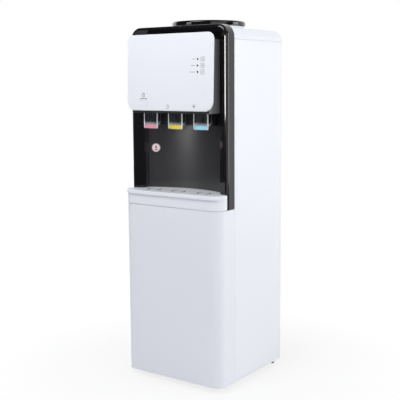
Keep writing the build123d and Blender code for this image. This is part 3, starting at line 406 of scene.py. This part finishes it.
lever_low, lever_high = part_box("normal_lever")
hood_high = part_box("tap_hood")[1]
grid_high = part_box("drip_grid")[1]
finishes = {
    "white_steel": painted("white_paint", rgb(0.86, 0.87, 0.885), rgb(0.852, 0.862, 0.878), 0.3),
    "white_plastic": moulded(
        "white_moulding",
        rgb(0.84, 0.85, 0.88),
        rgb(0.832, 0.843, 0.874),
        rough=0.36,
        grain=30.0,
        strength=0.01,
        edge=WHITE_EDGE,
        uneven=0.02,
    ),
    "black_gloss": moulded(
        "gloss_black",
        rgb(0.0025, 0.0025, 0.003),
        rgb(0.004, 0.004, 0.0045),
        rough=0.05,
        grain=60.0,
        strength=0.002,
        edge=BLACK_EDGE,
        uneven=0.02,
    ),
    "black_satin": moulded(
        "satin_black",
        rgb(0.016, 0.016, 0.018),
        rgb(0.024, 0.024, 0.026),
        rough=0.34,
        grain=800.0,
        strength=0.08,
    ),
    "grey_plastic": moulded(
        "grey_nylon",
        rgb(0.2, 0.205, 0.215),
        rgb(0.25, 0.255, 0.265),
        rough=0.36,
        grain=900.0,
        strength=0.06,
    ),
    "clear": clear_plastic("clear_lever"),
    "red_band": moulded(
        "hot_pink",
        rgb(0.96, 0.4, 0.49),
        rgb(0.93, 0.36, 0.45),
        rough=0.25,
        grain=500.0,
        strength=0.02,
    ),
    "yellow_band": moulded(
        "plain_yellow",
        rgb(0.94, 0.76, 0.1),
        rgb(0.9, 0.72, 0.085),
        rough=0.25,
        grain=500.0,
        strength=0.02,
    ),
    "blue_band": moulded(
        "cold_blue",
        rgb(0.41, 0.88, 1.0),
        rgb(0.38, 0.84, 0.97),
        rough=0.25,
        grain=500.0,
        strength=0.02,
    ),
    "lens": moulded(
        "smoked_lens",
        rgb(0.004, 0.004, 0.005),
        rgb(0.008, 0.008, 0.009),
        rough=0.35,
        grain=400.0,
        strength=0.01,
    ),
    "rubber": moulded(
        "black_rubber",
        rgb(0.018, 0.018, 0.018),
        rgb(0.03, 0.03, 0.03),
        rough=0.62,
        grain=500.0,
        strength=0.25,
    ),
    "silicone": moulded(
        "milky_silicone",
        rgb(0.74, 0.75, 0.74),
        rgb(0.68, 0.69, 0.68),
        rough=0.42,
        grain=300.0,
        strength=0.05,
        extra={"Subsurface Weight": 0.15},
    ),
    "steel": brushed("stainless", rgb(0.56, 0.57, 0.58), rgb(0.7, 0.71, 0.72), 0.2, (1, 1, 14)),
    "zinc": galvanised("zinc_sheet"),
    "black_metal": painted("black_enamel", rgb(0.012, 0.012, 0.013), rgb(0.02, 0.02, 0.021), 0.28),
    "copper": brushed("drawn_copper", rgb(0.66, 0.3, 0.16), rgb(0.76, 0.42, 0.26), 0.24, (6, 6, 1)),
    "foam": foamed("bead_foam"),
    "board": circuit_board("green_board"),
    "red_rocker": moulded(
        "red_rocker",
        rgb(0.46, 0.02, 0.015),
        rgb(0.4, 0.015, 0.012),
        rough=0.22,
        grain=500.0,
        strength=0.02,
        edge=ROCKER_EDGE,
    ),
    "green_rocker": moulded(
        "green_rocker",
        rgb(0.02, 0.22, 0.05),
        rgb(0.016, 0.19, 0.045),
        rough=0.22,
        grain=500.0,
        strength=0.02,
        edge=ROCKER_EDGE,
    ),
}
tap_finish = moulded(
    "tap_black",
    rgb(0.02, 0.02, 0.022),
    rgb(0.03, 0.03, 0.033),
    rough=0.1,
    grain=200.0,
    strength=0.01,
)
alcove_finish = moulded(
    "alcove_black",
    rgb(0.018, 0.018, 0.02),
    rgb(0.024, 0.024, 0.026),
    rough=0.3,
    grain=800.0,
    strength=0.05,
    uneven=0.04,
    extra={"Specular IOR Level": 1.0},
)
mark_ink = moulded(
    "grey_ink",
    rgb(0.1, 0.103, 0.108),
    rgb(0.14, 0.143, 0.148),
    rough=0.45,
    grain=900.0,
    strength=0.05,
)
sticker_film = moulded(
    "white_film",
    rgb(0.92, 0.92, 0.91),
    rgb(0.89, 0.89, 0.88),
    rough=0.4,
    grain=700.0,
    strength=0.03,
)
red_ink = moulded(
    "red_ink",
    rgb(0.7, 0.08, 0.06),
    rgb(0.62, 0.06, 0.05),
    rough=0.4,
    grain=700.0,
    strength=0.04,
)

for part in frame["record"]["subparts"]:
    mesh = nodes[part["node"]].data
    mesh.materials.clear()
    mesh.materials.append(finishes[part["material_slot"]])
for tap in ("hot_tap", "normal_tap", "cold_tap"):
    nodes[tap].data.materials[0] = tap_finish
nodes["tap_hood"].data.materials[0] = hood_plastic("hood_black")
nodes["drip_grid"].data.materials[0] = grid_plastic("grid_white")
nodes["alcove_liner"].data.materials[0] = alcove_finish


def link(made):
    bpy.context.scene.collection.objects.link(made)
    return made


def piece(name, bm, material, body):
    """Makes a finished piece of a bmesh and lets it move with a body."""
    bmesh.ops.remove_doubles(bm, verts=bm.verts, dist=1e-6)
    bmesh.ops.recalc_face_normals(bm, faces=bm.faces)
    mesh = bpy.data.meshes.new(name)
    bm.to_mesh(mesh)
    bm.free()
    mesh.materials.append(material)
    made = link(bpy.data.objects.new(name, mesh))
    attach(made, body)


def at(x, y, turn=0.0, width=1.0, height=1.0):
    place = Matrix.Translation((x, y, 0.0)) @ Matrix.Rotation(turn, 4, "Z")
    return place @ Matrix.Diagonal((width, height, 1.0, 1.0))


def bar(bm, x, y, length, width, turn=0.0):
    place = at(x, y, turn, length, width)
    bmesh.ops.create_grid(bm, x_segments=1, y_segments=1, size=0.5, matrix=place)


def disc(bm, x, y, radius):
    place = at(x, y)
    return bmesh.ops.create_circle(
        bm, cap_ends=True, segments=CURVE_STEPS, radius=radius, matrix=place
    )


def arc(bm, x, y, radius, width, begin, sweep):
    """A stroke of a circle, from one angle round by another."""
    centre = Vector((x, y, 0))
    turn = Matrix.Rotation(begin, 3, "Z")
    inner = bm.verts.new(centre + turn @ Vector((radius - width / 2, 0, 0)))
    outer = bm.verts.new(centre + turn @ Vector((radius + width / 2, 0, 0)))
    edge = bm.edges.new((inner, outer))
    bmesh.ops.spin(
        bm,
        geom=[inner, outer, edge],
        cent=centre,
        axis=(0, 0, 1),
        angle=sweep,
        steps=CURVE_STEPS,
        use_merge=math.isclose(sweep, 2 * math.pi),
    )


def teardrop(bm, x, y, radius):
    """A disc drawn up to a narrower top."""
    made = disc(bm, x, y, radius)
    for vert in made["verts"]:
        rise = max(0.0, (vert.co.y - y) / radius)
        vert.co.x = x + (vert.co.x - x) * (1 - 0.45 * rise)
        vert.co.y += 0.9 * radius * rise * rise


def thicken(bm, depth):
    """Gives flat marks a thickness, outward from what carries them."""
    made = bmesh.ops.extrude_face_region(bm, geom=bm.faces[:])
    top = [g for g in made["geom"] if isinstance(g, bmesh.types.BMVert)]
    bmesh.ops.translate(bm, verts=top, vec=(0, 0, depth))


def panel_face():
    """Takes flat marks from x across and y up to the face of the leaning control panel."""
    press = next(joint for joint in frame["joints"] if joint["name"] == "lock_press")
    panel_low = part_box("control_panel")[0]
    outward = -Vector(press["axis"]).normalized()
    upward = outward.cross(Vector((1, 0, 0)))
    lean = math.asin(outward.z)
    foot_y = panel_low.y - PANEL_EDGE * math.sin(lean)
    foot_z = panel_low.z + PANEL_THICK * math.sin(lean)
    turn = Matrix(
        ((1, upward.x, outward.x), (0, upward.y, outward.y), (0, upward.z, outward.z))
    )
    return Matrix.Translation((0, foot_y, foot_z)) @ turn.to_4x4()


def power_mark(bm, x, y, size, stroke):
    arc(bm, x, y, size * 0.8, stroke, math.radians(120), math.radians(300))
    bar(bm, x, y + size * 0.75, stroke, size * 0.9)


def cold_mark(bm, x, y, size, stroke):
    """A star of six arms."""
    for turn in (0, 60, 120):
        bar(bm, x, y, 2 * size, stroke, math.radians(turn))


def heat_mark(bm, x, y, size, stroke):
    """Two short waves rising from a line."""
    bar(bm, x, y - size, 2 * size, stroke)
    for side in (-0.5, 0.5):
        arc(bm, x + side * size, y - size * 0.25, size * 0.4, stroke, -math.pi / 2, math.pi)
        arc(bm, x + side * size, y + size * 0.55, size * 0.4, stroke, math.pi / 2, math.pi)


def frame_mark(bm, x, y, size, stroke):
    """A square outline for a small sign."""
    for side in (-1, 1):
        bar(bm, x, y + side * size, 2 * size + stroke, stroke)
        bar(bm, x + side * size, y, stroke, 2 * size)


def drop_mark(bm, x, y, size, stroke):
    """An open drop: a bowl and two straight sides that meet above it."""
    arc(bm, x, y - 0.3 * size, 0.7 * size, stroke, math.pi, math.pi)
    for side in (-1, 1):
        lean = side * math.radians(-58)
        bar(bm, x + side * 0.36 * size, y + 0.25 * size, 1.3 * size, stroke, lean)


def lock_mark(bm, x, y, size, stroke):
    """A padlock in outline."""
    frame_mark(bm, x, y - 0.3 * size, 0.6 * size, stroke)
    arc(bm, x, y + 0.3 * size, 0.42 * size, stroke, 0.0, math.pi)
    bar(bm, x, y - 0.3 * size, stroke, 0.5 * size)


def lamp_signs(bm):
    """The small framed signs right of the lamps and the plain dashes left of them."""
    for up in LAMP_UP:
        frame_mark(bm, LAMP_SIGN_X, up, LAMP_SIGN, HAIRLINE)
    heat_mark(bm, LAMP_SIGN_X, LAMP_UP[2], 0.6 * LAMP_SIGN, HAIRLINE)
    cold_mark(bm, LAMP_SIGN_X, LAMP_UP[1], 0.7 * LAMP_SIGN, HAIRLINE)
    power_mark(bm, LAMP_SIGN_X, LAMP_UP[0], 0.7 * LAMP_SIGN, HAIRLINE)
    for up, length in zip(LAMP_UP, DASH_LENGTHS):
        bar(bm, DASH_END_X - length / 2, up, length, STROKE)


def tap_signs(bm):
    """A lock over its button and one sign over each of the other taps."""
    lock_mark(bm, -TAP_PITCH, LOCK_SIGN_UP, TAP_SIGN, STROKE)
    bar(bm, -TAP_PITCH, LOCK_LINE_UP, LOCK_LINE_LENGTH, LOCK_LINE_WIDTH)
    drop_mark(bm, DROP_SIGN_X, DROP_SIGN_UP, SMALL_TAP_SIGN, STROKE)
    cold_mark(bm, TAP_PITCH, COLD_SIGN_UP, SMALL_TAP_SIGN, STROKE)


def panel_marks():
    """Small plain signs printed on the control panel."""
    bm = bmesh.new()
    lamp_signs(bm)
    tap_signs(bm)
    thicken(bm, INK)
    bm.transform(panel_face())
    piece("panel_marks", bm, mark_ink, "cabinet")


def on_alcove(bm, lift):
    """Bends a flat mark to the alcove's hollow wall and puts it there."""
    for vert in bm.verts:
        x = vert.co.x
        vert.co.z += ALCOVE_RADIUS - math.sqrt(ALCOVE_RADIUS**2 - x * x) + lift
    swing = math.asin(STICKER_X / ALCOVE_RADIUS)
    wall_y = ALCOVE_CENTRE_Y + ALCOVE_RADIUS * math.cos(swing)
    place = Matrix.Translation((STICKER_X, wall_y, STICKER_Z))
    upright = Matrix.Rotation(math.radians(90), 4, "X")
    bm.transform(place @ Matrix.Rotation(-swing, 4, "Z") @ upright)


def cut_strips(bm, reach, count):
    """Cuts a flat mark into upright strips, so that it can bend."""
    for i in range(1, count):
        x = reach * (2 * i / count - 1)
        whole = bm.verts[:] + bm.edges[:] + bm.faces[:]
        bmesh.ops.bisect_plane(bm, geom=whole, plane_co=(x, 0, 0), plane_no=(1, 0, 0))


def sticker():
    """A round sticker on the alcove wall with a ring, a plain drop and a dash."""
    bm = bmesh.new()
    disc(bm, 0, 0, STICKER_RADIUS)
    cut_strips(bm, STICKER_RADIUS, STICKER_STRIPS)
    thicken(bm, STICKER_THICK)
    on_alcove(bm, 0.0)
    piece("alcove_sticker", bm, sticker_film, "cabinet")
    bm = bmesh.new()
    teardrop(bm, 0, STICKER_DROP_UP, STICKER_DROP_RADIUS)
    bar(bm, 0, STICKER_DASH_UP, STICKER_DASH_LENGTH, STICKER_DASH_WIDTH)
    arc(bm, 0, 0, STICKER_RADIUS - STICKER_RING_INSET, HAIRLINE, 0.0, 2 * math.pi)
    thicken(bm, INK)
    on_alcove(bm, STICKER_THICK)
    piece("sticker_marks", bm, red_ink, "cabinet")


def softbox(name, place, aim, width, height, power):
    lamp = bpy.data.lights.new(name, "AREA")
    lamp.shape = "RECTANGLE"
    lamp.size = width
    lamp.size_y = height
    lamp.energy = power
    made = link(bpy.data.objects.new(name, lamp))
    made.location = place
    made.rotation_euler = (Vector(aim) - Vector(place)).to_track_quat("-Z", "Y").to_euler()
    return made


def only_for(lamp, name):
    """Lets a lamp light one node alone."""
    lit = bpy.data.collections.new(lamp.name)
    lit.objects.link(nodes[name])
    lamp.light_linking.receiver_collection = lit


def floor():
    """A pale studio floor that keeps a soft shadow near the part and fades to white."""
    bm = bmesh.new()
    bmesh.ops.create_circle(bm, cap_ends=True, segments=64, radius=FLOOR_RADIUS)
    mesh = bpy.data.meshes.new("studio_floor")
    bm.to_mesh(mesh)
    bm.free()
    material, net = start("floor_paper")
    seen = net.node("ShaderNodeLightPath", out="Is Camera Ray")
    place = net.node("ShaderNodeTexCoord", out="Object")
    away = net.node("ShaderNodeVectorMath", {"operation": "LENGTH"}, {0: place}, "Value")
    fade_range = {
        "Value": away,
        "From Min": FLOOR_FADE[0],
        "From Max": FLOOR_FADE[1],
        "To Min": FLOOR_GLOW[0],
        "To Max": FLOOR_GLOW[1],
    }
    fade = net.node("ShaderNodeMapRange", {}, fade_range)
    tooth = noise(net, 400.0)
    paper = {"Base Color": tooth.mix(rgb(0.8, 0.8, 0.81), rgb(0.84, 0.84, 0.85)), "Roughness": 0.9}
    matt = net.node("ShaderNodeBsdfPrincipled", {}, paper)
    glow = net.node("ShaderNodeEmission", {}, {"Strength": 1.0})
    shown = net.node("ShaderNodeMixShader", {}, {0: seen * fade, 1: matt, 2: glow})
    net.node("ShaderNodeOutputMaterial", {}, {"Surface": shown})
    mesh.materials.append(material)
    link(bpy.data.objects.new("studio_floor", mesh))


def studio():
    """White to the eye, a cool soft fill all round, and for gloss a dark front and a bright back."""
    world = bpy.data.worlds.new("studio")
    world.use_nodes = True
    world.node_tree.nodes.clear()
    bpy.context.scene.world = world
    net = Value(world.node_tree)
    seen = net.node("ShaderNodeLightPath", out="Is Camera Ray")
    gloss = net.node("ShaderNodeLightPath", out="Is Glossy Ray")
    through = net.node("ShaderNodeLightPath", out="Is Transmission Ray")
    way = net.node("ShaderNodeTexCoord", out="Generated")
    dot_product = {"operation": "DOT_PRODUCT"}
    back = net.node("ShaderNodeVectorMath", dot_product, {0: way, 1: BACKWARD}, "Value")
    wall = back.ramp((WALL_DARK_TO, WALL_DARK), (WALL_BRIGHT_FROM, WALL_BRIGHT))
    fill = (gloss + through).mix(FILL_COLOUR, wall)
    colour = seen.mix(fill, rgb(1, 1, 1))
    light = net.node("ShaderNodeBackground", {}, {"Color": colour, "Strength": 1.0})
    net.node("ShaderNodeOutputWorld", {}, {"Surface": light})


def camera():
    place = Vector(CAMERA_PLACE)
    lens = bpy.data.cameras.new("photo_camera")
    lens.sensor_width = CAMERA_SENSOR
    lens.lens = CAMERA_LENS
    lens.clip_start = CAMERA_NEAR
    made = link(bpy.data.objects.new("photo_camera", lens))
    made.location = place
    made.rotation_mode = "QUATERNION"
    facing = (Vector(CAMERA_TARGET) - place).to_track_quat("-Z", "Y")
    made.rotation_quaternion = facing @ Quaternion((0, 0, 1), math.radians(CAMERA_ROLL))
    bpy.context.scene.camera = made


panel_marks()
sticker()
floor()
studio()
for lamp in LAMPS:
    softbox(*lamp)
only_for(softbox(*ALCOVE_GLEAM), "alcove_liner")
only_for(softbox(*EDGE_STRIP), "front_bezel")
camera()

bpy.context.scene.view_settings.view_transform = "Standard"
